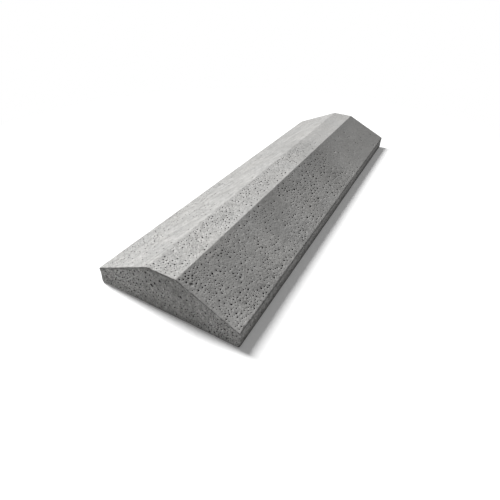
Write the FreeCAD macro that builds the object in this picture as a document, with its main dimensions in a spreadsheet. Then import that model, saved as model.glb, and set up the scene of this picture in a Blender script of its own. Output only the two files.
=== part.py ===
import FreeCAD, Part
import enum
import math
import os
import Sketcher

# A precast concrete wall coping, cast as one solid piece. Its section is a double-weathered cap:
# two slopes shed water to both sides of the wall from a flat strip along the crown, and upright
# edges carry the slopes clear of the bed. The long bottom arrises are softly rounded, the upright
# corners a little less, and the upper arrises hardly at all. A stopped drip throat runs under each
# edge.
#
# The coping lies on its bed. X runs along its length, Y across the wall and Z up, and the origin
# is the middle of the bed face.

SIZES = [
    ("overall_length", 1000.0, "end face to end face"),
    ("overall_width", 300.0, "across the wall"),
    ("edge_height", 35.0, "bed to the foot of each slope"),
    ("crown_height", 90.0, "bed to the flat strip"),
    ("crown_width", 60.0, "flat strip along the top"),
    ("base_radius", 4.0, "long bottom arrises"),
    ("end_radius", 3.0, "upright corners and the bottom arrises of the ends"),
    ("arris_radius", 2.0, "mould radius of the upper arrises"),
    ("drip_radius", 6.0, "half-round drip throat"),
    ("drip_inset", 25.0, "side face to the throat's centre line"),
    ("drip_stop", 40.0, "end face to the end of the throat"),
]

# How near, in millimetres, an edge's point has to lie to a plane to count as on it.
NEAR = 0.01


class Axis(enum.IntEnum):
    """A sketch's numbers for its own two axes."""

    HORIZONTAL = -1
    UPRIGHT = -2


class Point(enum.IntEnum):
    """A sketch's numbers for the points of a line or an arc."""

    START = 1
    END = 2
    CENTRE = 3


ORIGIN = (Axis.HORIZONTAL, Point.START)


def make_sizes(doc):
    """The sheet that every feature takes its sizes from."""
    sheet = doc.addObject("Spreadsheet::Sheet", "sizes")
    for row, (alias, value, note) in enumerate(SIZES, start=1):
        sheet.set(f"A{row}", alias)
        sheet.set(f"B{row}", str(value))
        sheet.setAlias(f"B{row}", alias)
        sheet.set(f"C{row}", note)
    doc.recompute()
    return sheet


def origin_plane(body, role):
    """One of the body's three origin planes."""
    return next(feature for feature in body.Origin.OriginFeatures if feature.Role == role)


def new_sketch(body, name, plane):
    """An empty sketch on one of the body's origin planes."""
    sketch = body.newObject("Sketcher::SketchObject", name)
    sketch.AttachmentSupport = [(origin_plane(body, plane), "")]
    sketch.MapMode = "FlatFace"
    return sketch


def constrain(sketch, kind, *where):
    """Adds a constraint, and returns its number."""
    return sketch.addConstraint(Sketcher.Constraint(kind, *where))


def bound(sketch, name, expression, kind, *where):
    """A named dimension of the sketch, driven by the sheet."""
    index = constrain(sketch, kind, *where, 1.0)
    sketch.renameConstraint(index, name)
    sketch.setExpression(f"Constraints.{name}", expression)


def joined(sketch, first, second):
    """Closes the corner where one line or arc ends and the next one starts."""
    constrain(sketch, "Coincident", first, Point.END, second, Point.START)


def draw_section(body, sheet):
    """The outline of the end face, in the plane across the wall."""
    sketch = new_sketch(body, "section", "YZ_Plane")
    half_width = sheet.overall_width / 2
    half_crown = sheet.crown_width / 2
    corners = [
        (-half_width, 0),
        (half_width, 0),
        (half_width, sheet.edge_height),
        (half_crown, sheet.crown_height),
        (-half_crown, sheet.crown_height),
        (-half_width, sheet.edge_height),
    ]
    points = [FreeCAD.Vector(y, z, 0) for y, z in corners]
    for start, end in zip(points, points[1:] + points[:1]):
        sketch.addGeometry(Part.LineSegment(start, end))
    bed, right_side, right_slope, crown, left_slope, left_side = range(len(points))

    for line in range(len(points)):
        joined(sketch, line, (line + 1) % len(points))
    constrain(sketch, "Horizontal", bed)
    constrain(sketch, "Vertical", right_side)
    constrain(sketch, "Vertical", left_side)
    constrain(sketch, "Symmetric", bed, Point.START, bed, Point.END, *ORIGIN)
    constrain(sketch, "Symmetric", crown, Point.START, crown, Point.END, Axis.UPRIGHT)
    constrain(sketch, "Equal", left_side, right_side)

    bound(sketch, "width", "sizes.overall_width", "DistanceX", bed, Point.START, bed, Point.END)
    side = (right_side, Point.START, right_side, Point.END)
    bound(sketch, "edge", "sizes.edge_height", "DistanceY", *side)
    bound(sketch, "crown", "sizes.crown_width", "DistanceX", crown, Point.END, crown, Point.START)
    bound(sketch, "height", "sizes.crown_height", "DistanceY", *ORIGIN, crown, Point.START)
    return sketch


def draw_throat(body, sheet):
    """Half the outline of one drip throat, with its straight side on the sketch's own X axis."""
    sketch = new_sketch(body, "throat_outline", "XY_Plane")
    from_middle = "sizes.drip_inset - sizes.overall_width / 2"
    sketch.setExpression(".AttachmentOffset.Base.y", from_middle)
    radius = sheet.drip_radius
    reach = sheet.overall_length / 2 - sheet.drip_stop
    straight = reach - radius
    normal = FreeCAD.Vector(0, 0, 1)
    quarter = math.pi / 2

    def at(x, y):
        return FreeCAD.Vector(x, y, 0)

    near_circle = Part.Circle(at(-straight, 0), normal, radius)
    far_circle = Part.Circle(at(straight, 0), normal, radius)
    axis = sketch.addGeometry(Part.LineSegment(at(-reach, 0), at(reach, 0)))
    far_end = sketch.addGeometry(Part.ArcOfCircle(far_circle, 0, quarter))
    flank = sketch.addGeometry(Part.LineSegment(at(straight, radius), at(-straight, radius)))
    near_end = sketch.addGeometry(Part.ArcOfCircle(near_circle, quarter, 2 * quarter))

    joined(sketch, axis, far_end)
    joined(sketch, near_end, axis)
    constrain(sketch, "Tangent", far_end, Point.END, flank, Point.START)
    constrain(sketch, "Tangent", flank, Point.END, near_end, Point.START)
    constrain(sketch, "PointOnObject", far_end, Point.CENTRE, axis)
    constrain(sketch, "PointOnObject", near_end, Point.CENTRE, axis)
    constrain(sketch, "Symmetric", axis, Point.START, axis, Point.END, *ORIGIN)
    constrain(sketch, "Horizontal", axis)
    constrain(sketch, "Equal", near_end, far_end)

    bound(sketch, "radius", "sizes.drip_radius", "Radius", far_end)
    length = "sizes.overall_length - 2 * sizes.drip_stop"
    bound(sketch, "length", length, "DistanceX", axis, Point.START, axis, Point.END)
    return sketch


def edges_where(shape, wanted):
    """The names of the shape's edges for which wanted(edge) is true."""
    return [f"Edge{n}" for n, edge in enumerate(shape.Edges, start=1) if wanted(edge)]


def along_length(edge):
    """Whether the edge is straight and parallel to X."""
    across = edge.tangentAt(edge.FirstParameter).cross(FreeCAD.Vector(1, 0, 0))
    return isinstance(edge.Curve, Part.Line) and across.Length < NEAR


def rounded(body, name, base, wanted, radius):
    """A fillet, with its radius from the sheet, on the base feature's edges that are wanted."""
    fillet = body.newObject("PartDesign::Fillet", name)
    fillet.Base = (base, edges_where(base.Shape, wanted))
    fillet.setExpression("Radius", radius)
    body.Document.recompute()
    return fillet


def round_arrises(body, block, sheet):
    """The block with its long bottom arrises, then its lower end arrises, then the rest rounded."""
    half_width = sheet.overall_width / 2
    half_length = sheet.overall_length / 2

    def at_side_face(edge):
        return all(abs(abs(vertex.Y) - half_width) < NEAR for vertex in edge.Vertexes)

    def at_end_face(edge):
        return all(abs(abs(vertex.X) - half_length) < NEAR for vertex in edge.Vertexes)

    def at_bed(edge):
        return edge.CenterOfMass.z < NEAR

    def above_sides(edge):
        return edge.CenterOfMass.z > sheet.edge_height - NEAR

    def long_bottom_arris(edge):
        return along_length(edge) and at_side_face(edge) and at_bed(edge)

    def lower_end_arris(edge):
        return at_end_face(edge) and not above_sides(edge)

    def upper_arris(edge):
        return above_sides(edge) and (at_end_face(edge) or along_length(edge))

    base = rounded(body, "rounded_base", block, long_bottom_arris, "sizes.base_radius")
    ends = rounded(body, "rounded_ends", base, lower_end_arris, "sizes.end_radius")
    return rounded(body, "rounded_top", ends, upper_arris, "sizes.arris_radius")


def cut_throats(body, sheet):
    """A stopped throat under one edge, and its mirror image under the other."""
    outline = draw_throat(body, sheet)
    throat = body.newObject("PartDesign::Groove", "throat")
    throat.Profile = outline
    throat.ReferenceAxis = (outline, ["H_Axis"])
    throat.Angle = 360
    throat.Reversed = False

    both_throats = body.newObject("PartDesign::Mirrored", "both_throats")
    both_throats.Originals = [throat]
    both_throats.MirrorPlane = (origin_plane(body, "XZ_Plane"), [""])
    return both_throats


def make_coping(doc, sheet):
    """The coping: its section drawn out to length, rounded, and throated underneath."""
    body = doc.addObject("PartDesign::Body", "coping")
    body.Label = "coping"
    block = body.newObject("PartDesign::Pad", "block")
    block.Profile = draw_section(body, sheet)
    block.SideType = "Symmetric"
    block.setExpression("Length", "sizes.overall_length")
    doc.recompute()

    unthroated = round_arrises(body, block, sheet)
    body.Tip = cut_throats(body, sheet)
    body.Placement = FreeCAD.Placement()
    doc.recompute()
    check_throats(sheet, unthroated.Shape.Volume - body.Shape.Volume)
    return body


def check_throats(sheet, removed):
    """Stops the build unless both throats were cut to their full half-round depth."""
    radius = sheet.drip_radius
    straight = sheet.overall_length - 2 * (sheet.drip_stop + radius)
    half_round = math.pi * radius**2 * straight / 2
    rounded_ends = 4 / 3 * math.pi * radius**3 / 2
    expected = 2 * (half_round + rounded_ends)
    if abs(removed - expected) > expected / 1000:
        raise ValueError(f"the throats removed {removed:.0f} mm3 and not {expected:.0f} mm3")


def check_document(doc):
    """Stops the build if a feature failed."""
    failed = [obj.Name for obj in doc.Objects if {"Invalid", "Error"} & set(obj.State)]
    if failed:
        raise ValueError(f"these features failed: {failed}")


def export(piece):
    """Writes one piece's solid to a file named after its label."""
    shape = piece.Shape
    if shape.isNull() or not shape.isValid():
        raise ValueError(f"{piece.Label} has no valid shape")
    shape.exportStep(f"parts/{piece.Label}.step")
    print(piece.Label, "solids", len(shape.Solids), "faces", len(shape.Faces))
    box = shape.optimalBoundingBox()
    print("volume in litres", round(shape.Volume / 1e6, 4), "box", box)


document = FreeCAD.newDocument("wall_coping")
sizes = make_sizes(document)
coping = make_coping(document, sizes)
check_document(document)
os.makedirs("parts", exist_ok=True)
export(coping)
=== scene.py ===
import math
import random

import bpy
import numpy as np
from mathutils import Matrix, Vector, noise
from mathutils.geometry import delaunay_2d_cdt


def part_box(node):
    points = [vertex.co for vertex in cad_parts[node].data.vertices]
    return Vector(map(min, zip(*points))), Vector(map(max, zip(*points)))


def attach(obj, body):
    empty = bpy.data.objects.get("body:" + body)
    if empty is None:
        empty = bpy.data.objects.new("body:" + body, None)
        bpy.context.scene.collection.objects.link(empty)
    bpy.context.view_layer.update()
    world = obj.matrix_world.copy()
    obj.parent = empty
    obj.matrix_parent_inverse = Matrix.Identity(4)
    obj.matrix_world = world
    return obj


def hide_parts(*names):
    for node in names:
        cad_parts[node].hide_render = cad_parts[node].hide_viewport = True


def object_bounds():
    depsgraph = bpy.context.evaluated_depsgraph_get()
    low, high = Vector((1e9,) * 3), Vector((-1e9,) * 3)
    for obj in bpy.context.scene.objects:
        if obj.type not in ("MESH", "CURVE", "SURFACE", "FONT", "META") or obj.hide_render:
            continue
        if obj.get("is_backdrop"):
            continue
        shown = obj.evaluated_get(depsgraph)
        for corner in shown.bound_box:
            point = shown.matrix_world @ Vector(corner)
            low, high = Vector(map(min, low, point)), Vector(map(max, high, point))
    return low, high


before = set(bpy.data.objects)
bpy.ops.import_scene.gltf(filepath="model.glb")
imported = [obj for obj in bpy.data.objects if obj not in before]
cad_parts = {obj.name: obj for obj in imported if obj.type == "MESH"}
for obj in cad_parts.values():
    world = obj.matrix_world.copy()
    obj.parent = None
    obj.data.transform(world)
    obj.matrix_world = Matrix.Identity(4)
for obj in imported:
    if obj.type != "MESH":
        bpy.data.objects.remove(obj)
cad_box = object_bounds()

# A precast concrete wall coping, seen from above its near end. Lengths are in millimetres until
# an object is made. X runs along the coping, Y across the wall and Z up from the floor.

MM = 0.001
NODE = "coping"

# Sizes of the casting. The overall box is the frame's own.
low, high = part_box(NODE)
LENGTH = (high.x - low.x) / MM
WIDTH = (high.y - low.y) / MM
CROWN_HEIGHT = (high.z - low.z) / MM
EDGE_HEIGHT = 35.0
CROWN_WIDTH = 60.0
BASE_RADIUS = 4.0
END_RADIUS = 3.0
ARRIS_RADIUS = 2.0
END_TOP_RADIUS = 0.8
DRIP_RADIUS = 6.0
DRIP_INSET = 25.0
DRIP_STOP = 40.0

# Between these heights an end's arris goes from its large radius to its small one.
END_LARGE_BELOW = EDGE_HEIGHT - 11
END_SMALL_ABOVE = EDGE_HEIGHT - 2

# The photograph's camera, solved from the coping's corners. Pixels count from the top left.
IMAGE_SIDE = 500
EYE = Vector((-849.8, -333.2, 502.8))
HEADING = 27.80
PITCH = -32.93
ROLL = 2.45
LENS = 27.40
SENSOR = 36.0
PRINCIPAL_POINT = (244.27, 218.71)

# How closely the long faces are divided, and how far points keep from what is beside them.
FACE_STEP = 9.0
FACE_JITTER = (2.5, 2.0)
FACE_MARGIN = 5.0
FACE_LEAST_MARGIN = 3.5
FACE_END_MARGIN = 4.0
OUTLINE_STEP = 3.2
ARRIS_STEP = 2.4
BASE_STEP = 4.5
BESIDE_ARRIS = 1.6
BESIDE_STEP = 1.3
ARC_TURN = math.radians(19)
THROAT_STEP = 5.0
THROAT_DEGREES = (0, 15, 32, 50, 70)
THROAT_END_PARTS = 8
THROAT_MARGIN = 3.0
ROW_MARGIN = 0.3

# The same for the end faces and their arrises.
END_STEP = FACE_STEP * 0.8
END_JITTER = 2.0
END_SIDE_MARGIN = 8.0
END_TOP_MARGIN = 6.0
END_INNER_LINE = 1.8
END_MARGIN = 1.0
END_TURNS = 3

# What rounding errors stay under, and what the triangulation keeps and how near two points merge.
ROUNDING = 1e-6
INSIDE_BORDER = 1
MERGE = 1e-5

# Seeds of the random draws.
LONG_PORES_SEED = 11
LONG_SITES_SEED = 3
END_SEED = 31
NICKS_SEED = 5


def rotation(degrees, axis):
    return Matrix.Rotation(math.radians(degrees), 3, axis)


VIEW_TURN = rotation(HEADING - 90, "Z") @ rotation(90 + PITCH, "X") @ rotation(ROLL, "Z")
FOCAL_PIXELS = LENS / SENSOR * IMAGE_SIDE
HALF_PIXEL = 0.5


def add_object(name, data):
    made = bpy.data.objects.new(name, data)
    bpy.context.collection.objects.link(made)
    return made


def add_camera():
    """The camera, with its shift set by the photograph's principal point."""
    data = bpy.data.cameras.new("camera")
    data.sensor_width = SENSOR
    data.lens = LENS
    data.shift_x = 0.5 - PRINCIPAL_POINT[0] / IMAGE_SIDE
    data.shift_y = PRINCIPAL_POINT[1] / IMAGE_SIDE - 0.5
    data.clip_end = 100
    camera = add_object("camera", data)
    camera.matrix_world = Matrix.LocRotScale(EYE * MM, VIEW_TURN, None)
    bpy.context.scene.camera = camera


def seen_on(pixel, point, normal):
    """Where the camera's ray through the middle of a pixel meets a plane."""
    right = (pixel[0] + HALF_PIXEL - PRINCIPAL_POINT[0]) / FOCAL_PIXELS
    down = (pixel[1] + HALF_PIXEL - PRINCIPAL_POINT[1]) / FOCAL_PIXELS
    ray = VIEW_TURN @ Vector((right, -down, -1))
    return EYE + ray * ((point - EYE).dot(normal) / ray.dot(normal))


def pixel_nearest(position):
    """The pixel whose middle is nearest to where the camera sees a point."""
    across_view, up_view, depth = VIEW_TURN.transposed() @ (position - EYE)
    column = PRINCIPAL_POINT[0] - HALF_PIXEL - FOCAL_PIXELS * across_view / depth
    row = PRINCIPAL_POINT[1] - HALF_PIXEL + FOCAL_PIXELS * up_view / depth
    return round(column), round(row)


# The section's outline

class Outline:
    """The section as one closed line, measured along from the middle of the bed towards +Y."""

    def __init__(self, corners):
        """corners is [(y, z, radius)] in order, each turning left."""
        self.pieces = []
        self.length = 0.0
        start = Vector((0.0, 0.0))
        places = [Vector(corner[:2]) for corner in corners] + [start]
        here = start
        for number, (_, _, radius) in enumerate(corners):
            arriving = (places[number] - here).normalized()
            leaving = (places[number + 1] - places[number]).normalized()
            turn = arriving.angle(leaving)
            trim = radius * math.tan(turn / 2)
            self.add("line", (places[number] - here).length - trim, here, arriving)
            self.add("arc", radius * turn, places[number] - arriving * trim, arriving, radius)
            here = places[number] + leaving * trim
        self.add("line", (start - here).length, here, leaving)

    def add(self, kind, length, start, direction, radius=0.0):
        self.pieces.append((kind, self.length, self.length + length, start, direction, radius))
        self.length += length

    def at(self, along):
        """(y, z) and the outward normal at a distance along the outline."""
        kind, first, _, start, direction, radius = next(
            (piece for piece in self.pieces if along <= piece[2]), self.pieces[-1])
        outward = Vector((direction.y, -direction.x))
        if kind == "line":
            return start + direction * (along - first), outward
        turned = Matrix.Rotation((along - first) / radius, 2) @ outward
        return start + (turned - outward) * radius, turned

    def spans(self, kind):
        """(first, last) along the outline for each of its lines or arcs."""
        return [piece[1:3] for piece in self.pieces if piece[0] == kind]


def steps(first, last, spacing):
    """Even steps from first to last, both included, at most the spacing apart."""
    count = max(1, math.ceil((last - first) / spacing - ROUNDING))
    return [first + (last - first) * n / count for n in range(count + 1)]


def smooth(low_edge, high_edge, value):
    """0 below low_edge, 1 above high_edge and a soft step between."""
    part = min(1.0, max(0.0, (value - low_edge) / (high_edge - low_edge)))
    return part * part * (3 - 2 * part)


outline = Outline([
    (WIDTH / 2, 0, BASE_RADIUS),
    (WIDTH / 2, EDGE_HEIGHT, ARRIS_RADIUS),
    (CROWN_WIDTH / 2, CROWN_HEIGHT, ARRIS_RADIUS),
    (-CROWN_WIDTH / 2, CROWN_HEIGHT, ARRIS_RADIUS),
    (-WIDTH / 2, EDGE_HEIGHT, ARRIS_RADIUS),
    (-WIDTH / 2, 0, BASE_RADIUS),
])
SIDES = ("bed_left", "side_left", "slope_left", "crown", "slope_right", "side_right", "bed_right")
ARRISES = ("base_left", "edge_left", "ridge_left", "ridge_right", "edge_right", "base_right")
SPAN = dict(zip(SIDES, outline.spans("line"))) | dict(zip(ARRISES, outline.spans("arc")))


# Pores, left in the face by air at the mould

# How dark a point of the surface is as a corner of a hollow, where the darkness is painted shade, and
# as a corner of the face round it, where a rim gets a pale ring and a painted highlight on its lit side
PLAIN = (0.0, 0.0)
HOLLOW = (1.0, 0.0)
RIM_IN_HOLLOW = 0.9
RIM_PALE = 0.3
RIM_GLINT = 0.35

# The side of a pore's rim that faces the light, on the unrolled long faces and on an end face
LIT_ON_LONG = Vector((-0.3, 0.95))
LIT_ON_END = Vector((-0.75, -0.65))


class Pore:
    """A small round or drawn-out pit. Its place and angle are in the plane of its face."""

    SKIRT = 0.8
    DEPTHS = (1.0, 1.5)
    OVAL = 0.10
    THREE_SIDED = 0.07
    WIDEST = 1 + OVAL + THREE_SIDED

    # For radii under each limit: the skirt's number of points, then each ring's, with its shares of the
    # radius and the depth and its shades, which for a rim depend on the light
    KINDS = [
        (1.0, 5, [(6, 1.0, 0.2, None), (1, 0.0, 1.0, HOLLOW)]),
        (1.6, 6, [(7, 1.0, 0.2, None), (4, 0.6, 1.0, HOLLOW)]),
        (math.inf, 8, [(10, 1.0, 0.16, None), (7, 0.8, 0.6, HOLLOW), (4, 0.45, 1.0, HOLLOW)]),
    ]

    def __init__(self, place, radius, stretch=1.0, angle=0.0):
        self.place = place
        self.radius = radius
        self.stretch = stretch
        self.angle = angle
        self.reach = radius * stretch

    def rings(self):
        """Its skirt on the sound face, then its worn rim and its hollow."""
        in_skirt, others = next(kind[1:] for kind in self.KINDS if self.radius < kind[0])
        return [(in_skirt, 1 + self.SKIRT / self.radius, 0.0, PLAIN)] + others

    def sites(self, dice, lit):
        """(place, depth, shades) over its rings. The rim has a painted highlight on its lit side."""
        depth = self.radius * dice.uniform(*self.DEPTHS)
        phases = [dice.uniform(0, math.tau) for _ in range(3)]
        turn = Matrix.Rotation(self.angle, 2)
        for count, scale, share, shades in self.rings():
            for n in range(count):
                around = math.tau * n / count + phases[0]
                bump = 1 + self.OVAL * math.sin(2 * around + phases[1])
                bump += self.THREE_SIDED * math.sin(3 * around + phases[2])
                arm = turn @ Vector((math.cos(around) * self.stretch, math.sin(around)))
                rim = (RIM_IN_HOLLOW, -RIM_PALE - RIM_GLINT * max(0.0, arm.normalized().dot(lit)))
                yield self.place + arm * (self.radius * scale * bump), depth * share, shades or rim


class Crater(Pore):
    """A shallow bowl with painted shade on the side by the light and a painted highlight on the far one."""

    DEPTH = 0.4
    SHADE = 0.32
    SHADE_SWING = 0.62

    # Each ring's number of points, share of the radius and share of the depth
    RINGS = [(9, 1.15, 0.0), (12, 1.0, 0.15), (9, 0.6, 0.8), (1, 0.0, 1.0)]

    def sites(self, dice, lit):
        for count, scale, share in self.RINGS:
            for n in range(count):
                around = math.tau * n / count
                arm = Vector((math.cos(around), math.sin(around))) * scale
                shade = self.SHADE - self.SHADE_SWING * arm.dot(lit) if scale <= 1 else 0.0
                yield self.place + arm * self.radius, self.radius * self.DEPTH * share, (0.0, shade)


class PoreField:
    """Pores that don't meet, found quickly by the square of a grid that they lie in."""

    CELL = 12.0
    GAP = 0.2

    def __init__(self):
        self.pores = []
        self.cells = {}

    def cell(self, place):
        return tuple(math.floor(value / self.CELL) for value in place)

    def nearby(self, place):
        """The pores in the nine squares round a place."""
        column, row = self.cell(place)
        for dx in (-1, 0, 1):
            for dy in (-1, 0, 1):
                yield from self.cells.get((column + dx, row + dy), ())

    def fits(self, pore, room):
        """Whether a pore, its skirt included, lies clear of the others and has room on its face."""
        width = pore.reach * Pore.WIDEST + Pore.SKIRT
        return room(pore.place) > width + self.GAP and self.clear(pore.place, width + Pore.SKIRT)

    def clear(self, place, reach):
        """Whether a disc of this reach lies clear of every pore."""
        return all((place - pore.place).length > reach + pore.reach for pore in self.nearby(place))

    def add(self, pore):
        self.pores.append(pore)
        self.cells.setdefault(self.cell(pore.place), []).append(pore)


# How far a pore is stretched where nothing draws it out
ROUNDISH = (1.0, 1.25)


def scatter(field, dice, tries, spot, room, weight, sizes, shape=None, settle=None):
    """Adds at most one pore to a try. weight(place) is the chance that spot() is kept, shape(place)
    gives a stretch and an angle, and settle(place) is where the pore goes."""
    smallest, largest, skew = sizes
    for _ in range(tries):
        place = spot()
        if dice.random() > weight(place):
            continue
        radius = smallest + (largest - smallest) * dice.random() ** skew
        stretch, angle = shape(place) if shape else (dice.uniform(*ROUNDISH), dice.uniform(0, math.pi))
        pore = Pore(settle(place) if settle else place, radius, stretch, angle)
        if field.fits(pore, room):
            field.add(pore)


# The noise at which a soft patch is all there
PATCH_EDGE = 0.35

# The share of the pores that is left where the coping is smoothest
FEWEST = 0.04


def at_least(least, share):
    """A share from 0 to 1, raised to run from least to 1."""
    return least + (1 - least) * share


def patchy(least, place, size, seed):
    """Soft patches from least to 1 over a face."""
    value = noise.noise(Vector((place[0] / size, place[1] / size, seed)))
    return at_least(least, smooth(-PATCH_EDGE, PATCH_EDGE, value))


def near_share(x):
    """0 at the near end of the coping and 1 at the far end."""
    return x / LENGTH + 0.5


def thinning(place, first, last, least=0.0):
    """1 up to one share of the length, and least from another one on."""
    return at_least(least, 1 - smooth(first, last, near_share(place[0])))


# Smooth patches of the right slope, by the pixel of their middle, with their radius
SMOOTH_PATCHES = [
    (272, 203, 34), (272, 224, 24), (283, 231, 16), (228, 259, 15), (212, 266, 10), (250, 246, 14),
]

# Crowds of pores on the right slope, likewise
CROWDS = [(236, 318, 13), (230, 311, 9), (252, 301, 12), (192, 280, 11), (202, 283, 8)]

# The crater and the pores that stand out in the photograph, by the pixel of their middle, and radius
SEEN_CRATER = (191.2, 284.2, 3.4)
SEEN_ON_SLOPE = [
    (188, 278, 1.6), (188, 275, 1.4), (185, 273, 1.4), (212, 273, 1.8), (240, 292, 1.7),
    (240, 277, 1.7), (261, 288, 1.7), (260, 275, 1.4), (248, 289, 1.6), (231, 304, 1.7),
    (210, 252, 1.6), (222, 250, 1.7), (234, 252, 1.6), (240, 254, 1.4), (258, 244, 1.6),
    (282, 188, 1.9), (308, 164, 2.2), (304, 178, 1.9), (236, 313, 1.6), (228, 321, 1.7),
]
SEEN_ON_CROWN = [
    (212, 216, 1.7), (251, 205, 1.7), (204, 249, 1.7), (202, 237, 1.6), (217, 223, 1.3),
    (182, 247, 1.6), (277, 161, 1.7), (268, 184, 1.6),
]

# Which way the pores of an end are drawn out, from +Y
END_DRAWN = math.radians(53)
SEEN_ON_END = [
    (151, 285, 2.1), (159, 281, 1.6), (154, 283, 1.6), (153, 289, 1.5), (180, 297, 1.6),
    (224, 329, 1.6), (145, 272, 1.5), (168, 297, 1.4), (186, 300, 1.4), (191, 301, 1.1),
    (190, 296, 1.1), (164, 289, 1.1), (205, 313, 1.4), (214, 332, 1.4), (122, 277, 1.4),
    (120, 287, 1.4), (115, 279, 1.4), (133, 278, 1.1), (134, 271, 1.4), (127, 278, 1.1),
    (138, 292, 1.4), (117, 269, 1.1), (135, 285, 1.1), (125, 268, 1.4),
]

# Stretch and angle of the listed pores, on the long faces and on the near end
SEEN_SHAPE = (1.15, 0.3)
SEEN_END_SHAPE = (1.8, END_DRAWN)


def add_seen(field, seen, point, normal, flatten, room, shape=SEEN_SHAPE):
    """Adds the pores of the photograph. flatten() turns a point of the face into its own plane."""
    for *pixel, radius in seen:
        pore = Pore(flatten(seen_on(pixel, point, normal)), radius, *shape)
        if field.fits(pore, room):
            field.add(pore)


def side_plane(name):
    """A point and the normal of one long face, and what turns its points into its own plane."""
    first, last = SPAN[name]
    start, outward = outline.at((first + last) / 2)
    point = Vector((0, *start))
    along = Vector((0, -outward.y, outward.x))

    def flatten(position):
        return Vector((position.x, (first + last) / 2 + (position - point).dot(along)))

    return point, Vector((0, *outward)), flatten


def place_on(name, pixel):
    """Where the middle of a pixel lies on one unrolled long face."""
    point, normal, flatten = side_plane(name)
    return flatten(seen_on(pixel, point, normal))


def surface_point(place):
    """The point of the sound surface at a place on the unrolled long faces."""
    return Vector((place[0], *outline.at(place[1])[0]))


def settle_on(name):
    """Moves a place on one long face to the middle of its pixel, where the photograph's pores lie."""
    return lambda place: place_on(name, pixel_nearest(surface_point(place)))


# The most that a pore is drawn out, how much that varies, and how far it turns from the line of sight
MOST_DRAWN = 1.7
DRAWN_SPREAD = (0.85, 1.1)
DRAWN_TURN = 0.3


def drawn_out(dice, name):
    """Shapes for a long face's pores, drawn out along the line of sight to look round in the picture."""
    _, normal, flatten = side_plane(name)

    def shape(place):
        position = surface_point(place)
        ray = (position - EYE).normalized()
        ahead = flatten(position + ray) - flatten(position)
        stretch = min(MOST_DRAWN, 1 / abs(ray.dot(normal))) * dice.uniform(*DRAWN_SPREAD)
        return stretch, math.atan2(ahead.y, ahead.x) + dice.uniform(-DRAWN_TURN, DRAWN_TURN)

    return shape


def side_spot(dice, name):
    first, last = SPAN[name]
    return lambda: Vector((dice.uniform(-LENGTH / 2, LENGTH / 2), dice.uniform(first, last)))


# How far a pore with its skirt keeps from the edge of its face
PORE_MARGIN = 0.4


def side_room(name):
    """How far a place on one long face is from the face's own edges and from the drip throats."""
    first, last = SPAN[name]

    def room(place):
        to_throat = math.hypot(*from_throats(place)) - DRIP_RADIUS
        to_arris = min(place[1] - first, last - place[1]) - PORE_MARGIN
        return min(reach_at(place[1]) - abs(place[0]), to_arris, to_throat)

    return room


def inside_any(pixels):
    """How far a place is inside one of the right slope's named spots, from 0 to 1."""
    spots = [(place_on("slope_right", pixel), radius) for *pixel, radius in pixels]
    return lambda place: max(math.exp(-((place - at).length / radius) ** 4) for at, radius in spots)


smoothness = inside_any(SMOOTH_PATCHES)
crowds = inside_any(CROWDS)


def across(name, place):
    """0 to 1 over one long face, in the direction of the outline."""
    first, last = SPAN[name]
    return (place[1] - first) / (last - first)


def large_near(place):
    return thinning(place, 0.3, 0.5) * patchy(0.3, place, 50, 5.5)


def large_midway(place):
    share = near_share(place[0])
    midway = smooth(0.32, 0.46, share) * (1 - smooth(0.54, 0.68, share))
    return midway * patchy(0.3, place, 45, 2.5)


def large_on_crown(place):
    """Large pores on the crown's left part, from a quarter of the length to the middle."""
    left_part = 1 - 0.8 * smooth(0.55, 0.7, across("crown", place))
    share = near_share(place[0])
    return left_part * smooth(0.2, 0.3, share) * (1 - smooth(0.5, 0.64, share))


def on_right(place):
    """The right slope's pores: most at the near end, few on the smooth patches and in the far third."""
    near_crowd = thinning(place, 0.05, 0.18, 0.45)
    rough = 1 - 0.85 * smoothness(place)
    return rough * near_crowd * patchy(0.45, place, 40, 1.5) * thinning(place, 0.56, 0.72, FEWEST)


def on_crown(place):
    """The crown's pores, which leave a strip by its right ridge barer."""
    bare = 0.3 + 0.4 * smooth(0.1, 0.3, near_share(place[0]))
    bare_strip = 1 - smooth(0.6, 0.75, across("crown", place)) * bare
    near_crowd = thinning(place, 0.15, 0.3, 0.45)
    return bare_strip * near_crowd * patchy(0.55, place, 40, 4.5) * thinning(place, 0.5, 0.68, FEWEST)


def on_left(place):
    """The left slope's pores: by the near end, and thinly along its foot."""
    outer = 1 - across("slope_left", place)
    at_end = thinning(place, 0.08, 0.24) * at_least(0.12, smooth(0.35, 0.6, outer))
    patches = patchy(0.3, place, 35, 7.5)
    return max(at_least(0.1, outer ** 2), at_end) * patches * thinning(place, 0.1, 0.5, FEWEST)


def on_side(place):
    """The pores of the side faces and the bed."""
    return patchy(0.3, place, 60, 9.5)


# The long faces' scattered pores: face, tries, the chance at a place, and the radii: smallest, largest
# and a power, above 1 where small ones are the more common
CROPS = [
    ("slope_right", 24000, crowds, (0.8, 1.6, 1.3)),
    ("slope_right", 170, large_near, (1.3, 1.8, 1.2)),
    ("crown", 100, large_near, (1.3, 1.8, 1.2)),
    ("slope_right", 650, large_midway, (1.3, 2.1, 1.2)),
    ("crown", 80, large_on_crown, (1.2, 1.9, 1.4)),
    ("slope_right", 9500, on_right, (0.6, 1.4, 1.2)),
    ("crown", 4600, on_crown, (0.6, 1.45, 1.2)),
    ("slope_left", 5400, on_left, (0.65, 1.4, 1.3)),
    ("side_right", 420, on_side, (0.6, 1.5, 2.5)),
    ("side_left", 420, on_side, (0.6, 1.5, 2.5)),
    ("bed_left", 230, on_side, (0.8, 2.2, 2.2)),
    ("bed_right", 230, on_side, (0.8, 2.2, 2.2)),
]

# The faces whose pores settle on the photograph's pixels
SEEN_FACES = ("slope_left", "crown", "slope_right", "side_right")


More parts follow.
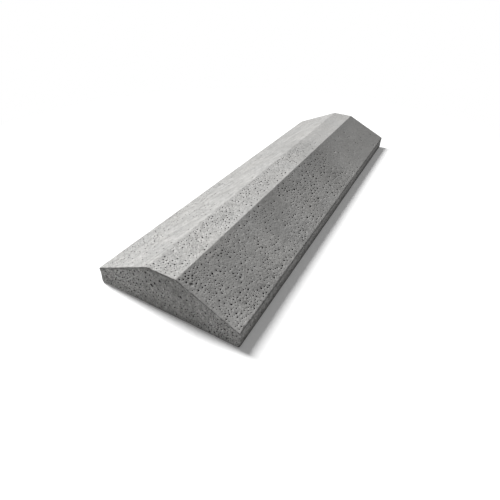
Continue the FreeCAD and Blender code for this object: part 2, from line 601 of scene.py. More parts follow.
def long_face_pores():
    """The pores of the crown, the slopes, the sides and the bed."""
    field = PoreField()
    dice = random.Random(LONG_PORES_SEED)
    *pixel, radius = SEEN_CRATER
    field.add(Crater(place_on("slope_right", pixel), radius))
    for name, seen in (("slope_right", SEEN_ON_SLOPE), ("crown", SEEN_ON_CROWN)):
        add_seen(field, seen, *side_plane(name), side_room(name))
    for name, tries, weight, sizes in CROPS:
        on_view = (drawn_out(dice, name), settle_on(name)) if name in SEEN_FACES else ()
        scatter(field, dice, tries, side_spot(dice, name), side_room(name), weight, sizes, *on_view)
    return field


# The unrolled long faces

# The outline's distance to the middle of each drip throat, and how far a throat is straight each way
TO_THROAT = WIDTH / 2 - DRIP_INSET
THROAT_LINES = (TO_THROAT, outline.length - TO_THROAT)
THROAT_STRAIGHT = LENGTH / 2 - DRIP_STOP - DRIP_RADIUS


def throat_sites():
    """(place, depth) over both stopped half-round drip throats, row by row from rim to middle."""
    columns = steps(-THROAT_STRAIGHT, THROAT_STRAIGHT, THROAT_STEP)
    for middle in THROAT_LINES:
        for degrees in THROAT_DEGREES:
            offset = DRIP_RADIUS * math.cos(math.radians(degrees))
            depth = DRIP_RADIUS * math.sin(math.radians(degrees))
            for x in columns:
                for side in (-1, 1):
                    yield Vector((x, middle + side * offset)), depth
            for end in (-1, 1):
                for n in range(1, THROAT_END_PARTS):
                    angle = math.pi * n / THROAT_END_PARTS - math.pi / 2
                    arm = Vector((end * math.cos(angle), math.sin(angle))) * offset
                    yield Vector((end * THROAT_STRAIGHT, middle)) + arm, depth
        for x in columns:
            yield Vector((x, middle)), DRIP_RADIUS


def from_throats(place):
    """How far a place is from the nearest drip throat's middle line: past its end, and to the side."""
    beyond = max(0.0, abs(place[0]) - THROAT_STRAIGHT)
    return beyond, min(abs(place[1] - middle) for middle in THROAT_LINES)


def outline_stations():
    """Distances along the outline where the long faces meet the ends."""
    stations = []
    for kind, first, last, _, _, radius in outline.pieces:
        spacing = OUTLINE_STEP if kind == "line" else radius * ARC_TURN
        stations += steps(first, last, spacing)[:-1]
    return stations + [outline.length]


def reach_at(along):
    """How far the long faces reach from the middle before the arris of an end."""
    return LENGTH / 2 - end_round(along) - END_MARGIN


def border_loop():
    """The border of the unrolled surface, once round."""
    seam = steps(-reach_at(0), reach_at(0), BASE_STEP)
    stations = outline_stations()
    border = [(x, 0.0) for x in seam]
    border += [(reach_at(along), along) for along in stations[1:]]
    border += [(x, outline.length) for x in reversed(seam[:-1])]
    border += [(-reach_at(along), along) for along in reversed(stations[1:-1])]
    return border


def arris_rows():
    """(distance along the outline, spacing) for the rows of points over each arris and beside it."""
    for kind, first, last, _, _, radius in outline.pieces:
        if kind == "arc":
            spacing = ARRIS_STEP if radius < BASE_RADIUS else BASE_STEP
            for along in steps(first, last, radius * ARC_TURN):
                yield along, spacing
            yield first - BESIDE_ARRIS, spacing * BESIDE_STEP
            yield last + BESIDE_ARRIS, spacing * BESIDE_STEP


def loose_places(field, dice):
    """Places all over the wide faces, clear of their pores and throats."""
    for first, last in SPAN.values():
        if last - first < 2 * FACE_STEP:
            continue
        for along in steps(first + FACE_MARGIN, last - FACE_MARGIN, FACE_STEP):
            reach = reach_at(along) - FACE_END_MARGIN
            for x in steps(-reach, reach, FACE_STEP):
                dx, dy = (dice.uniform(-jitter, jitter) for jitter in FACE_JITTER)
                place = Vector((x + dx, along + dy))
                if not first + FACE_LEAST_MARGIN < place[1] < last - FACE_LEAST_MARGIN:
                    continue
                clear_of_throats = math.hypot(*from_throats(place)) > DRIP_RADIUS + THROAT_MARGIN
                if clear_of_throats and field.clear(place, 2 * Pore.SKIRT):
                    yield place


def long_face_sites(field, dice):
    """The unrolled surface: its border loop, then every other (place, depth, shades)."""
    border = border_loop()
    sites = [(Vector(place), 0.0, PLAIN) for place in border]
    for along, spacing in arris_rows():
        for x in steps(-reach_at(along), reach_at(along), spacing)[1:-1]:
            place = Vector((x, along))
            if field.clear(place, ROW_MARGIN):
                sites.append((place, 0.0, PLAIN))
    sites += [(place, depth, PLAIN) for place, depth in throat_sites()]
    for pore in field.pores:
        sites += pore.sites(dice, LIT_ON_LONG)
    sites += [(place, 0.0, PLAIN) for place in loose_places(field, dice)]
    return sites, len(border)


# The skin: points, their outward normals, and triangles with a place in the unwrapped map

class Skin:
    """The coping's points, its triangles, and what its material reads at each."""

    def __init__(self):
        self.numbers = {}
        self.points = []
        self.normals = []
        self.depths = []
        self.triangles = []
        self.flat = []
        self.hollow = []
        self.finish_and_shade_values = []

    def point(self, position, normal, finish_and_shade, depth=0.0):
        """The number of the point at this place of the sound surface, which is made once."""
        key = tuple(round(value, 3) for value in position)
        if key not in self.numbers:
            self.numbers[key] = len(self.points)
            self.points.append(position)
            self.normals.append(normal)
            self.finish_and_shade_values.append(finish_and_shade)
            self.depths.append(depth)
        return self.numbers[key]

    def triangle(self, corners, places, hollow=(0.0, 0.0, 0.0)):
        """A triangle, turned so that it faces outward."""
        if len(set(corners)) < 3:
            return
        a, b, c = (self.points[corner] for corner in corners)
        outward = sum((self.normals[corner] for corner in corners), Vector())
        order = (0, 1, 2) if (b - a).cross(c - a).dot(outward) > 0 else (0, 2, 1)
        self.triangles.append([corners[n] for n in order])
        self.flat.append([places[n] for n in order])
        self.hollow.append([hollow[n] for n in order])

    def fill(self, sites, loop, lift, spread):
        """Triangulates the plane of the sites. lift() gives a point and its normal, spread() its place."""
        plane = [place for place, _, _ in sites]
        result = delaunay_2d_cdt(plane, [], [list(range(loop))], INSIDE_BORDER, MERGE)
        sources = [origins[0] if origins else None for origins in result[3]]
        if None in sources:
            raise ValueError("the border crosses itself")
        numbers = {}
        for source in {sources[corner] for face in result[2] for corner in face}:
            place, depth, _ = sites[source]
            numbers[source] = self.point(*lift(place), depth)
        for face in result[2]:
            origin = [sources[corner] for corner in face]
            shades = [sites[source][2] for source in origin]
            kind = 0 if HOLLOW in shades else 1
            places = [spread(sites[source][0]) for source in origin]
            self.triangle([numbers[source] for source in origin], places, [pair[kind] for pair in shades])


# The concrete's finish and painted shade over each face: (share of the way over it, tone, grain,
# trowel marks). The right slope's lower tone is painted shade for the light from the left. The
# darker bands at the top and the base of the side faces and at the bed's right edge are painted shade.
FINISH_AND_PAINTED_SHADE = {
    "bed_left": [(0.0, 0.95, 1.0, 0.0)],
    # Painted shade: darker at the base and just under the top arris
    "side_left": [
        (0.0, 0.80, 1.3, 0.0), (0.4, 0.92, 1.3, 0.0), (0.9, 0.95, 1.3, 0.0), (1.0, 0.80, 1.0, 0.0),
    ],
    "slope_left": [
        (0.0, 0.86, 1.1, 1.0), (0.15, 0.87, 1.0, 1.3), (0.75, 0.90, 0.7, 1.5), (1.0, 0.945, 0.6, 1.5),
    ],
    "crown": [(0.0, 0.92, 1.0, 0.4), (0.6, 0.93, 1.0, 0.3), (0.75, 0.97, 0.7, 0.3), (1.0, 1.0, 0.7, 0.3)],
    # Painted shade: the whole slope is darker, as the light comes from the left
    "slope_right": [
        (0.0, 0.59, 0.7, 0.5), (0.2, 0.635, 0.8, 0.5), (0.8, 0.66, 0.8, 0.5), (1.0, 0.70, 0.9, 0.4),
    ],
    # Painted shade: a dark line under the top arris and a darker band at the base
    "side_right": [
        (0.0, 0.54, 1.5, 0.0), (0.06, 0.64, 1.5, 0.0), (0.2, 1.03, 1.5, 0.0), (0.6, 0.85, 1.5, 0.0),
        (1.0, 0.55, 1.4, 0.0),
    ],
    # Painted shade: darker at its right edge, by the base
    "bed_right": [(0.0, 0.52, 1.0, 0.0), (0.1, 0.95, 1.0, 0.0)],
}
FINISH_AND_SHADE_STATIONS = [
    SPAN[name][0] + share * (SPAN[name][1] - SPAN[name][0])
    for name, rows in FINISH_AND_PAINTED_SHADE.items() for share, *_ in rows
]
FINISH_AND_SHADE_COLUMNS = list(zip(*sum(FINISH_AND_PAINTED_SHADE.values(), [])))[1:]

# Patches of another tone in the photograph: the pixel of their middle, radius and how much lighter
PATCHES = {
    "slope_right": [
        (272, 203, 42, -0.12), (272, 224, 32, -0.08), (330, 194, 48, 0.12), (312, 216, 34, 0.07),
        (292, 203, 30, 0.07), (323, 163, 85, -0.09), (227, 258, 20, -0.09), (277, 250, 45, 0.10),
        (300, 222, 45, 0.08), (350, 171, 70, 0.10), (238, 318, 22, 0.18), (199, 270, 25, -0.05),
    ],
    "crown": [
        (165, 257, 30, -0.05), (213, 222, 40, -0.05), (277, 183, 40, -0.06), (188, 262, 18, 0.05),
        (230, 212, 30, -0.03), (298, 148, 60, -0.08),
    ],
}
PATCHES_HERE = [
    (place_on(face, pixel), radius, change)
    for face, patches in PATCHES.items() for *pixel, radius, change in patches
]


def patch_tone(place):
    """How much lighter or darker the named patches make a place."""
    return sum(
        change * math.exp(-((place - middle).length / radius) ** 2)
        for middle, radius, change in PATCHES_HERE
    )


# How much smoother the far end and the smooth patches are, and how the tone goes along the coping:
# painted shade darkens it towards the far end and painted light lifts the near end, as a light that falls off
# would
FAR_SMOOTHER = 0.65
PATCH_SMOOTHER = 0.5
FAR_PAINTED_SHADE = 0.11
NEAR_PAINTED_LIGHT = 0.02


def finish_and_shade_long(place):
    """The tone, with its painted shade, grain and trowel marks of the long faces at an unrolled place."""
    tone, grain, trowel = (np.interp(place[1], FINISH_AND_SHADE_STATIONS, column) for column in FINISH_AND_SHADE_COLUMNS)
    share = near_share(place[0])
    smoother = 1 - FAR_SMOOTHER * smooth(0.55, 0.85, share)
    smoother *= 1 - PATCH_SMOOTHER * smoothness(Vector(place))
    # Painted shade: darker towards the far end, lighter at the near end
    darker = FAR_PAINTED_SHADE * smooth(0.0, 0.9, share) - NEAR_PAINTED_LIGHT
    return Vector((tone - darker + patch_tone(Vector(place)), grain * smoother, trowel))


# How deep the scratches of an end are drawn. The material knows them by their minus sign.
END_SCRATCHES = -1.25


def finish_and_shade_end(place):
    """The same for an end face at (y, z): painted shade makes it darker at its base and just under its
    arris, and it is darker in its middle.
    """
    y, z = place
    # Painted shade: darker towards the base
    above_base = 0.24 * smooth(0, 42, z)
    to_left = 0.12 * smooth(30, 130, y)
    to_right = 0.09 * smooth(60, 140, -y)
    dark_middle = 0.16 * math.exp(-((y + 20) / 40) ** 2) * smooth(10, 70, z)
    tone = 0.80 + above_base + to_left - dark_middle + to_right
    # Painted shade: a dark line just under the top arris
    under_arris = 0.5 * (1 - smooth(1.0, 2.6 + 4.0 * smooth(-50, 60, y), top_at(y) - z))
    grain = 1.15 + 0.5 * smooth(50, 110, y) + 0.25 * smooth(50, 110, -y)
    return Vector((tone * (1 - under_arris), grain, END_SCRATCHES))


def lift_long(place):
    """The point, normal and finish with its painted shade, of the long faces at an unrolled place."""
    return surface_point(place), Vector((0, *outline.at(place[1])[1])), finish_and_shade_long(place)


def spread_long(place):
    """The unrolled faces' place in the map, in millimetres."""
    return place[0] + LENGTH / 2, place[1]


def end_round(along):
    """The radius of the end's arris: small above the sides and larger from there down."""
    (_, z), _ = outline.at(along)
    growth = 1 - smooth(END_LARGE_BELOW, END_SMALL_ABOVE, z)
    return END_TOP_RADIUS + (END_RADIUS - END_TOP_RADIUS) * growth


def add_end_arris(skin, end):
    """The rounded arris between the long faces and one end."""
    rows = []
    for along in outline_stations():
        (y, z), outward = outline.at(along)
        radius = end_round(along)
        row = [(reach_at(along), 0.0, 0.0)]
        for n in range(END_TURNS + 1):
            turn = math.pi / 2 * n / END_TURNS
            row.append((LENGTH / 2 - radius + radius * math.sin(turn), radius * (1 - math.cos(turn)), turn))
        corners = []
        for x, inset, turn in row:
            position = Vector((end * x, y - outward.x * inset, z - outward.y * inset))
            if turn == 0:
                position = surface_point(Vector((end * x, along)))
            elif turn == math.pi / 2:
                position = Vector((end * LENGTH / 2, *inside_arris(along)))
            lean = math.cos(turn)
            normal = Vector((end * math.sin(turn), outward.x * lean, outward.y * lean))
            share = turn / (math.pi / 2)
            finish_and_shade = finish_and_shade_long((end * x, along)).lerp(finish_and_shade_end(position.yz), share)
            place = (LENGTH / 2 + end * (x + inset), along)
            corners.append((skin.point(position, normal, finish_and_shade), place))
        rows.append(corners)
    for near, far in zip(rows, rows[1:]):
        for n in range(END_TURNS + 1):
            skin.triangle(*zip(near[n], near[n + 1], far[n + 1]))
            skin.triangle(*zip(near[n], far[n + 1], far[n]))


def inside_arris(along, inset=0.0):
    """(y, z) on an end face where its rounded arris begins, or further in by an inset."""
    place, outward = outline.at(along)
    return place - outward * (end_round(along) + inset)


def top_at(y):
    """The height of the section's top at a distance across the wall."""
    down = max(0.0, abs(y) - CROWN_WIDTH / 2) / (WIDTH - CROWN_WIDTH) * 2
    return CROWN_HEIGHT - down * (CROWN_HEIGHT - EDGE_HEIGHT)


def end_room(place):
    """How far a place on an end face is from the face's border."""
    y, z = abs(place[0]), place[1]
    run = WIDTH / 2 - CROWN_WIDTH / 2
    lean = math.hypot(run, CROWN_HEIGHT - EDGE_HEIGHT) / run
    to_top = (top_at(y) - z) / lean - END_TOP_RADIUS
    corner = Vector((max(0.0, y - WIDTH / 2 + BASE_RADIUS), max(0.0, BASE_RADIUS - z)))
    in_corner = corner.x > 0 and corner.y > 0
    to_round = BASE_RADIUS - END_RADIUS - corner.length if in_corner else math.inf
    return min(z - END_RADIUS, WIDTH / 2 - y - END_RADIUS, to_top, to_round) - PORE_MARGIN


# Tries for the pores of the near end and of the far one, and their radii as for the long faces
END_TRIES = {-1: 2300, 1: 1000}
END_SIZES = (0.8, 1.5, 1.2)


def end_pores(end, dice):
    """The pores of one end face. The mould drew out those of its left half."""
    field = PoreField()
    point = Vector((end * LENGTH / 2, 0, 0))
    normal = Vector((end, 0, 0))
    if end < 0:
        add_seen(field, SEEN_ON_END, point, normal, lambda position: position.yz, end_room, SEEN_END_SHAPE)

    def settle(place):
        if end > 0:
            return place
        return seen_on(pixel_nearest(Vector((point.x, *place))), point, normal).yz

    def spot():
        y = dice.uniform(-WIDTH / 2, WIDTH / 2)
        return Vector((y, dice.uniform(0, top_at(y))))

    def drawn(place):
        streaky = smooth(0, 60, place[0])
        return 1.1 + 1.6 * streaky * dice.random(), END_DRAWN + dice.uniform(-0.2, 0.2)

    def weight(place):
        right_corner = 0.5 * smooth(70, 110, -place[0])
        share = at_least(0.22, smooth(30, 100, place[0])) + right_corner
        return share * patchy(0.3, place, 30, 3.5 + end)

    scatter(field, dice, END_TRIES[end], spot, end_room, weight, END_SIZES, drawn, settle)
    return field


# How far the ends lie apart in the unwrapped map, and how far past the long faces
MAP_APART = 20
MAP_PAST = 15


def add_end(skin, end):
    """One end face, flat inside its border."""
    dice = random.Random(END_SEED + end)
    field = end_pores(end, dice)
    stations = outline_stations()[:-1]
    border = [inside_arris(along) for along in stations]
    inner_line = [inside_arris(along, END_INNER_LINE) for along in stations[::2]]
    inner_line = [place for place in inner_line if field.clear(place, ROW_MARGIN)]
    sites = [(place, 0.0, PLAIN) for place in border + inner_line]
    for pore in field.pores:
        sites += pore.sites(dice, LIT_ON_END)
    for y in steps(-WIDTH / 2 + END_SIDE_MARGIN, WIDTH / 2 - END_SIDE_MARGIN, END_STEP):
        for z in steps(END_SIDE_MARGIN, CROWN_HEIGHT, END_STEP):
            dy, dz = (dice.uniform(-END_JITTER, END_JITTER) for _ in range(2))
            place = Vector((y + dy, z + dz))
            if place[1] < top_at(place[0]) - END_TOP_MARGIN and field.clear(place, 2 * Pore.SKIRT):
                sites.append((place, 0.0, PLAIN))
    map_x = WIDTH / 2 + (WIDTH + MAP_APART) * (end > 0)
    map_y = outline.length + MAP_PAST

    def lift(place):
        return Vector((end * LENGTH / 2, *place)), Vector((end, 0, 0)), finish_and_shade_end(place)

    def spread(place):
        return place[0] + map_x, place[1] + map_y

    skin.fill(sites, len(border), lift, spread)


# Wear: the surface's slight waves and the nicks in its arrises

# Height and size of the waves, of which the long ones are the mould's
WAVES = [(0.16, 90), (0.10, 34), (0.04, 9)]


def waves(position):
    """How far the surface stands out, in millimetres."""
    return sum(height * noise.noise(position / size) for height, size in WAVES)


# Nicks that stand out in the photograph: their pixel, radius and depth, on the near end and elsewhere
SEEN_NICKS_AT_END = [
    (109.6, 267.6, 2.4, 1.3), (125.7, 267.2, 2.8, 1.5), (148.6, 268.4, 2.2, 1.0), (163.4, 273.2, 2.2, 1.1),
    (176.4, 278.6, 2.2, 1.0), (191.6, 293.4, 2.2, 0.9), (222.0, 318.4, 2.6, 1.2), (229.8, 325.2, 2.2, 1.0),
]
SEEN_NICKS = [
    ("edge_right", 243.8, 327.4, 3.6, 1.7),
    ("edge_right", 249.0, 319.5, 2.6, 1.0),
    ("edge_left", 235.0, 171.0, 4.5, 1.6),
    ("ridge_right", 181.6, 276.0, 3.0, 1.2),
]

# The scattered nicks of a long arris and of an end: how many, their radii and their depths
LONG_NICKS = (26, (2.5, 6.0), (0.25, 0.9))
END_NICKS = (34, (2.0, 4.5), (0.25, 0.8))
UPPER_NICK_SHARE = 0.8
NICK_END_MARGIN = 4


def nicks(dice):
    """Spheres, as (centre, radius), that scoop small nicks out of the arrises."""
    scoops = []

    def scoop(position, outward, radius, depth):
        scoops.append((position + outward * (radius - depth), radius))

    for *pixel, radius, depth in SEEN_NICKS_AT_END:
        position = seen_on(pixel, Vector((-LENGTH / 2, 0, 0)), Vector((-1, 0, 0)))
        scoop(position, Vector((-1, 0, 1)).normalized(), radius, depth)
    for arris, *pixel, radius, depth in SEEN_NICKS:
        start, outward = outline.at(sum(SPAN[arris]) / 2)
        normal = Vector((0, *outward))
        x = seen_on(pixel, Vector((0, *start)), normal).x
        scoop(Vector((x, *start)), normal, radius, depth)
    count, radii, depths = LONG_NICKS
    for name in ARRISES:
        place, outward = outline.at(sum(SPAN[name]) / 2)
        share = 1 if name.startswith("base") else UPPER_NICK_SHARE
        for _ in range(count):
            x = dice.uniform(-1, 1) * (LENGTH / 2 - NICK_END_MARGIN)
            radius = dice.uniform(*radii)
            scoop(Vector((x, *place)), Vector((0, *outward)), radius, dice.uniform(*depths) * share)
    count, radii, depths = END_NICKS
    for end in (-1, 1):
        for _ in range(count):
            along = dice.uniform(0, outline.length)
            (y, z), outward = outline.at(along)
            tilt = Vector((end, *outward)).normalized()
            sharp = end_round(along) * (1 - math.sqrt(0.5))
            position = Vector((end * (LENGTH / 2 - sharp), y - outward.x * sharp, z - outward.y * sharp))
            scoop(position, tilt, dice.uniform(*radii), dice.uniform(*depths))
    return scoops


def worn(skin):
    """The skin's points where they really lie: waved, pitted and nicked."""
    points = np.array([p + n * (waves(p) - d) for p, n, d in zip(skin.points, skin.normals, skin.depths)])
    for centre, radius in nicks(random.Random(NICKS_SEED)):
        arm = points - np.array(centre)
        distance = np.linalg.norm(arm, axis=1)
        inside = distance < radius
        points[inside] = np.array(centre) + arm[inside] / distance[inside, None] * radius
    points[:, 2] = np.maximum(points[:, 2], 0.0)
    return points


# The turn between two triangles from which their edge is drawn sharp
SHARP = math.radians(38)


def add_coping(material):
    """The coping's mesh, with its map and the attributes that its material reads."""
    dice = random.Random(LONG_SITES_SEED)
    skin = Skin()
    sites, loop = long_face_sites(long_face_pores(), dice)
    skin.fill(sites, loop, lift_long, spread_long)
    for end in (-1, 1):
        add_end_arris(skin, end)
        add_end(skin, end)

    mesh = bpy.data.meshes.new("coping_concrete")
    mesh.from_pydata((worn(skin) * MM).tolist(), [], skin.triangles)
    flat = mesh.uv_layers.new(name="OFBake")
    flat.uv.foreach_set("vector", (np.array(skin.flat, np.float32) / LENGTH).ravel())
    # Each corner's painted shade inside the pores and painted light on their rims
    hollow = mesh.attributes.new("hollow", "FLOAT", "CORNER")
    hollow.data.foreach_set("value", np.array(skin.hollow, np.float32).ravel())
    for name, values in zip(("tone", "grain", "trowel"), np.array(skin.finish_and_shade_values, np.float32).T):
        mesh.attributes.new(name, "FLOAT", "POINT").data.foreach_set("value", values.copy())
    mesh.shade_smooth()
    mesh.set_sharp_from_angle(angle=SHARP)
    mesh.materials.append(material)
    mesh.validate()

    piece = add_object("coping_concrete", mesh)
    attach(piece, "root")
    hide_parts(NODE)


# Materials

WHITE = (1, 1, 1, 1)


def grey(value):
    return value, value, value, 1


class Graph:
    """Short calls for the nodes of a material or the world. An input is a socket to link, or a value."""

    def __init__(self, owner):
        owner.use_nodes = True
        self.tree = owner.node_tree
        self.tree.nodes.clear()

    def node(self, kind, inputs=(), **settings):
        """The outputs of a new node."""
        made = self.tree.nodes.new("ShaderNode" + kind)
        for name, value in settings.items():
            setattr(made, name, value)
        for name, value in dict(inputs).items():
            if isinstance(value, bpy.types.NodeSocket):
                self.tree.links.new(value, made.inputs[name])
            else:
                made.inputs[name].default_value = value
        return made.outputs

    def math(self, operation, first, second=0.0):
        return self.node("Math", {0: first, 1: second}, operation=operation)[0]

    def times(self, first, second):
        return self.math("MULTIPLY", first, second)

    def swing(self, value, amount):
        """A value from 0 to 1 as a factor round 1, which swings by the amount."""
        return self.math("ADD", self.times(self.math("SUBTRACT", value, 0.5), amount), 1.0)

    def cloud(self, coordinates, size, detail=2.0, roughness=0.5):
        """Noise whose blotches are about size metres across, from 0 to 1."""
        inputs = {"Vector": coordinates, "Scale": 1 / size, "Detail": detail, "Roughness": roughness}
        return self.node("TexNoise", inputs)["Fac"]

    def mixed(self, factor, first, second):
        return self.node("MixShader", {0: factor, 1: first, 2: second})[0]

    def shader(self, kind, colour, **inputs):
        return self.node(kind, {"Color": colour} | inputs)[0]


# Which way the trowel went over the top, from +X, and its marks' size in metres along X, Y and Z
TROWEL_BEARING = -14.0
TROWEL_MARK = (0.08, 0.005, 0.005)
TROWEL_CONTRAST = 0.7

# How fast and how far, in metres, the trowel's marks sway
SWAY_SCALE = 11.0
SWAY = (0.03, 0.03, 0.03)

# The size of the mould's scratches on an end, once they are turned to lie along Y
SCRATCH = (0.02, 0.02, 0.0016)

# The mottling: the blotches' size in metres, detail and roughness, and how far the tone swings
MOTTLING = [(0.13, 2, 0.5, 0.16), (0.03, 3, 0.6, 0.22)]

# Sand in the cement's skin, fine and coarse
FINE_SAND = 0.0026
COARSE_SAND = 0.008
COARSE_SHARE = 0.35
SAND_CONTRAST = 1.8

# Specks, at most one to a cell, each a pit or a pale grain by its cell's number from 0 to 1. A pit's
# darkness is painted shade.
SPECK_SPACING = 0.0036
SPECK_RADIUS = 0.0009
SPECK_CORE = 0.6
PITS_UNDER = 0.6
GRAINS_OVER = 0.7
PIT_DARKNESS = 0.85
GRAIN_PALENESS = 0.4

# How strongly the hollow attribute paints shade in the pores and light on their rims
PORE_PAINTED_SHADING = 0.96
TINT_SIZE = 0.07
COOL = (0.476, 0.475, 0.469, 1)
WARM = (0.489, 0.480, 0.463, 1)
RELIEF_SIZE = 0.0035
RELIEF_HEIGHT = 0.0012


def streaks(graph, place, axis, angle, mark):
    """Drawn-out marks from 0 to 1. The turn about the axis brings them into line with X or Y."""
    turned = graph.node("VectorRotate", {"Vector": place, "Angle": angle}, rotation_type=axis)["Vector"]
    finer = tuple(1 / size for size in mark)
    drawn = graph.node("VectorMath", {0: turned, 1: finer}, operation="MULTIPLY")["Vector"]
    return graph.node("TexNoise", {"Vector": drawn, "Scale": 1.0, "Detail": 2.0})["Fac"]


def wavering(graph, place):
    """The coordinates, swayed to and fro by a few millimetres."""
    sway = graph.node("TexNoise", {"Vector": place, "Scale": SWAY_SCALE, "Detail": 1.0})["Color"]
    return graph.node("VectorMath", {0: sway, 1: SWAY, 2: place}, operation="MULTIPLY_ADD")["Vector"]


def specks(graph, place):
    """How far a point is inside its cell's speck, and the cell's own number."""
    cells = graph.node("TexVoronoi", {"Vector": place, "Scale": 1 / SPECK_SPACING})
    inside = graph.node("MapRange", {
        "Value": cells["Distance"],
        "From Min": SPECK_RADIUS / SPECK_SPACING * SPECK_CORE,
        "From Max": SPECK_RADIUS / SPECK_SPACING,
        "To Min": 1.0,
        "To Max": 0.0,
    })["Result"]
    return inside, graph.node("SeparateColor", {"Color": cells["Color"]})["Red"]


def concrete():
    """Pale grey cast concrete: mottled and sandy, with painted shade inside its pores and painted light
    on their rims.
    """
    material = bpy.data.materials.new("concrete")
    graph = Graph(material)
    place = graph.node("TexCoord")["Object"]
    tone, grain, trowel, hollow = (
        graph.node("Attribute", attribute_name=name)["Fac"]
        for name in ("tone", "grain", "trowel", "hollow")
    )

    factor = tone
    for size, detail, roughness, amount in MOTTLING:
        factor = graph.times(factor, graph.swing(graph.cloud(place, size, detail, roughness), amount))
    coarse = graph.times(graph.cloud(place, COARSE_SAND, 1), COARSE_SHARE)
    sand = graph.math("ADD", graph.cloud(place, FINE_SAND, 2, 0.8), coarse)
    sand = graph.math("SUBTRACT", sand, COARSE_SHARE / 2)
    factor = graph.times(factor, graph.swing(sand, graph.times(grain, SAND_CONTRAST)))

    bearing = math.radians(-TROWEL_BEARING)
    top_marks = streaks(graph, wavering(graph, place), "Z_AXIS", bearing, TROWEL_MARK)
    on_top = graph.times(graph.math("MAXIMUM", trowel, 0.0), TROWEL_CONTRAST)
    factor = graph.times(factor, graph.swing(top_marks, on_top))
    end_marks = streaks(graph, place, "X_AXIS", -END_DRAWN, SCRATCH)
    on_ends = graph.math("MAXIMUM", graph.times(trowel, -1.0), 0.0)
    factor = graph.times(factor, graph.swing(end_marks, on_ends))

    inside, number = specks(graph, place)
    pit = graph.times(graph.times(inside, graph.math("LESS_THAN", number, PITS_UNDER)), grain)
    pale = graph.times(graph.times(inside, graph.math("GREATER_THAN", number, GRAINS_OVER)), grain)
    # Darkens the specks' pits and the pores' hollows with painted shade, lightens the pale grains, and
    # lightens the pores' rims with painted light
    for kind, where, amount in (
        ("SUBTRACT", pit, PIT_DARKNESS),
        ("ADD", pale, GRAIN_PALENESS),
        ("SUBTRACT", hollow, PORE_PAINTED_SHADING),
    ):
        factor = graph.times(factor, graph.math(kind, 1.0, graph.times(where, amount)))

    inputs = {"Factor": graph.cloud(place, TINT_SIZE, 2), 6: COOL, 7: WARM}
    tint = graph.node("Mix", inputs, data_type="RGBA")[2]
    colour = graph.node("VectorMath", {0: tint, "Scale": factor}, operation="SCALE")
    height = graph.math("SUBTRACT", graph.cloud(place, RELIEF_SIZE, 2, 0.6), graph.times(pit, 0.5))
    inputs = {"Strength": 1.0, "Distance": RELIEF_HEIGHT, "Height": height}
    shader = graph.node("BsdfPrincipled", {
        "Base Color": colour["Vector"],
        "Roughness": 0.9,
        "Specular IOR Level": 0.25,
        "Normal": graph.node("Bump", inputs)["Normal"],
    })
    graph.node("OutputMaterial", {"Surface": shader["BSDF"]})
    return material


# The floor's grey for the light that it throws back, and for the camera its grey and its own glow
FLOOR_BOUNCE = 0.57
FLOOR_SEEN = 0.95
FLOOR_GLOW = 0.175

# Between these distances from the coping's middle, in metres, it fades to white
FADE_FROM = 0.75
FADE_TO = 1.1


def floor_material():
    """White to the camera where it is lit, and all white away from the coping. Other rays find it
    darker, so that it throws little light back."""
    material = bpy.data.materials.new("floor")
    graph = Graph(material)
    seen = graph.node("LightPath")["Is Camera Ray"]
    plain = graph.shader("BsdfDiffuse", grey(FLOOR_BOUNCE))
    pale = graph.shader("BsdfDiffuse", grey(FLOOR_SEEN))
    glow = graph.shader("Emission", WHITE, Strength=FLOOR_GLOW)
    bright = graph.node("AddShader", {0: pale, 1: glow})[0]
    white = graph.shader("Emission", WHITE, Strength=1.0)
    place = graph.node("TexCoord")["Object"]
    away = graph.node("VectorMath", {0: place}, operation="LENGTH")["Value"]
    inputs = {"Value": away, "From Min": FADE_FROM, "From Max": FADE_TO}
    fade = graph.node("MapRange", inputs)["Result"]
    both = graph.mixed(seen, plain, graph.mixed(fade, bright, white))
    graph.node("OutputMaterial", {"Surface": both})
    return material


# The stage, in metres

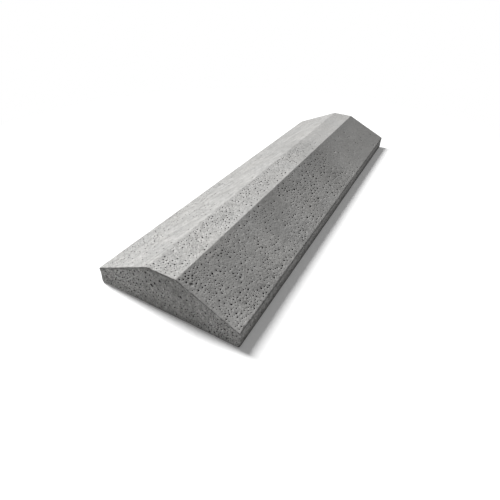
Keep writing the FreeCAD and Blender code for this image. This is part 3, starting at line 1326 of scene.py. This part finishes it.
# The softbox: where it stands seen from the floor at the near end, its size, light and aim
KEY_ELEVATION = 53.0
KEY_BEARING = 80.5
KEY_DISTANCE = 6.0
KEY_SIZE = (1.1, 2.7)
KEY_POWER = 465.0
KEY_AIM = Vector((0, 0, 0.05))

SKY_STRENGTH = 0.10
FLOOR_HALF = 30.0
FLOOR_LEVEL = -0.0002


def add_key():
    """A soft light on the left. Its bearing is measured from +X."""
    data = bpy.data.lights.new("key", "AREA")
    data.shape = "RECTANGLE"
    data.size, data.size_y = KEY_SIZE
    data.energy = KEY_POWER
    key = add_object("key", data)
    elevation = math.radians(KEY_ELEVATION)
    bearing = math.radians(KEY_BEARING)
    away = Vector((
        math.cos(elevation) * math.cos(bearing),
        math.cos(elevation) * math.sin(bearing),
        math.sin(elevation),
    ))
    key.location = Vector((-LENGTH / 2 * MM, 0, 0)) + away * KEY_DISTANCE
    key.rotation_euler = (key.location - KEY_AIM).to_track_quat("Z", "Y").to_euler()


def add_sky():
    """A faint even light all round, which the camera and mirrors see as white."""
    world = bpy.data.worlds.new("studio")
    bpy.context.scene.world = world
    graph = Graph(world)
    rays = graph.node("LightPath")
    seen = graph.math("MAXIMUM", rays["Is Camera Ray"], rays["Is Glossy Ray"])
    seen = graph.math("MAXIMUM", seen, rays["Is Transmission Ray"])
    faint = graph.shader("Background", WHITE, Strength=SKY_STRENGTH)
    white = graph.shader("Background", WHITE, Strength=1.0)
    graph.node("OutputWorld", {"Surface": graph.mixed(seen, faint, white)})


def add_floor():
    """A plain pale floor, a hair below the coping's bed so that the two don't coincide."""
    mesh = bpy.data.meshes.new("floor")
    corners = [(x * FLOOR_HALF, y * FLOOR_HALF, FLOOR_LEVEL) for x, y in ((-1, -1), (1, -1), (1, 1), (-1, 1))]
    mesh.from_pydata(corners, [], [(0, 1, 2, 3)])
    mesh.materials.append(floor_material())
    add_object("floor", mesh)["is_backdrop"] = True


add_camera()
add_coping(concrete())
add_key()
add_sky()
add_floor()
bpy.context.scene.view_settings.view_transform = "Standard"

boxes = {"cad": cad_box, "visual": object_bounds()}
{name: [list(corner) for corner in box] for name, box in boxes.items()}
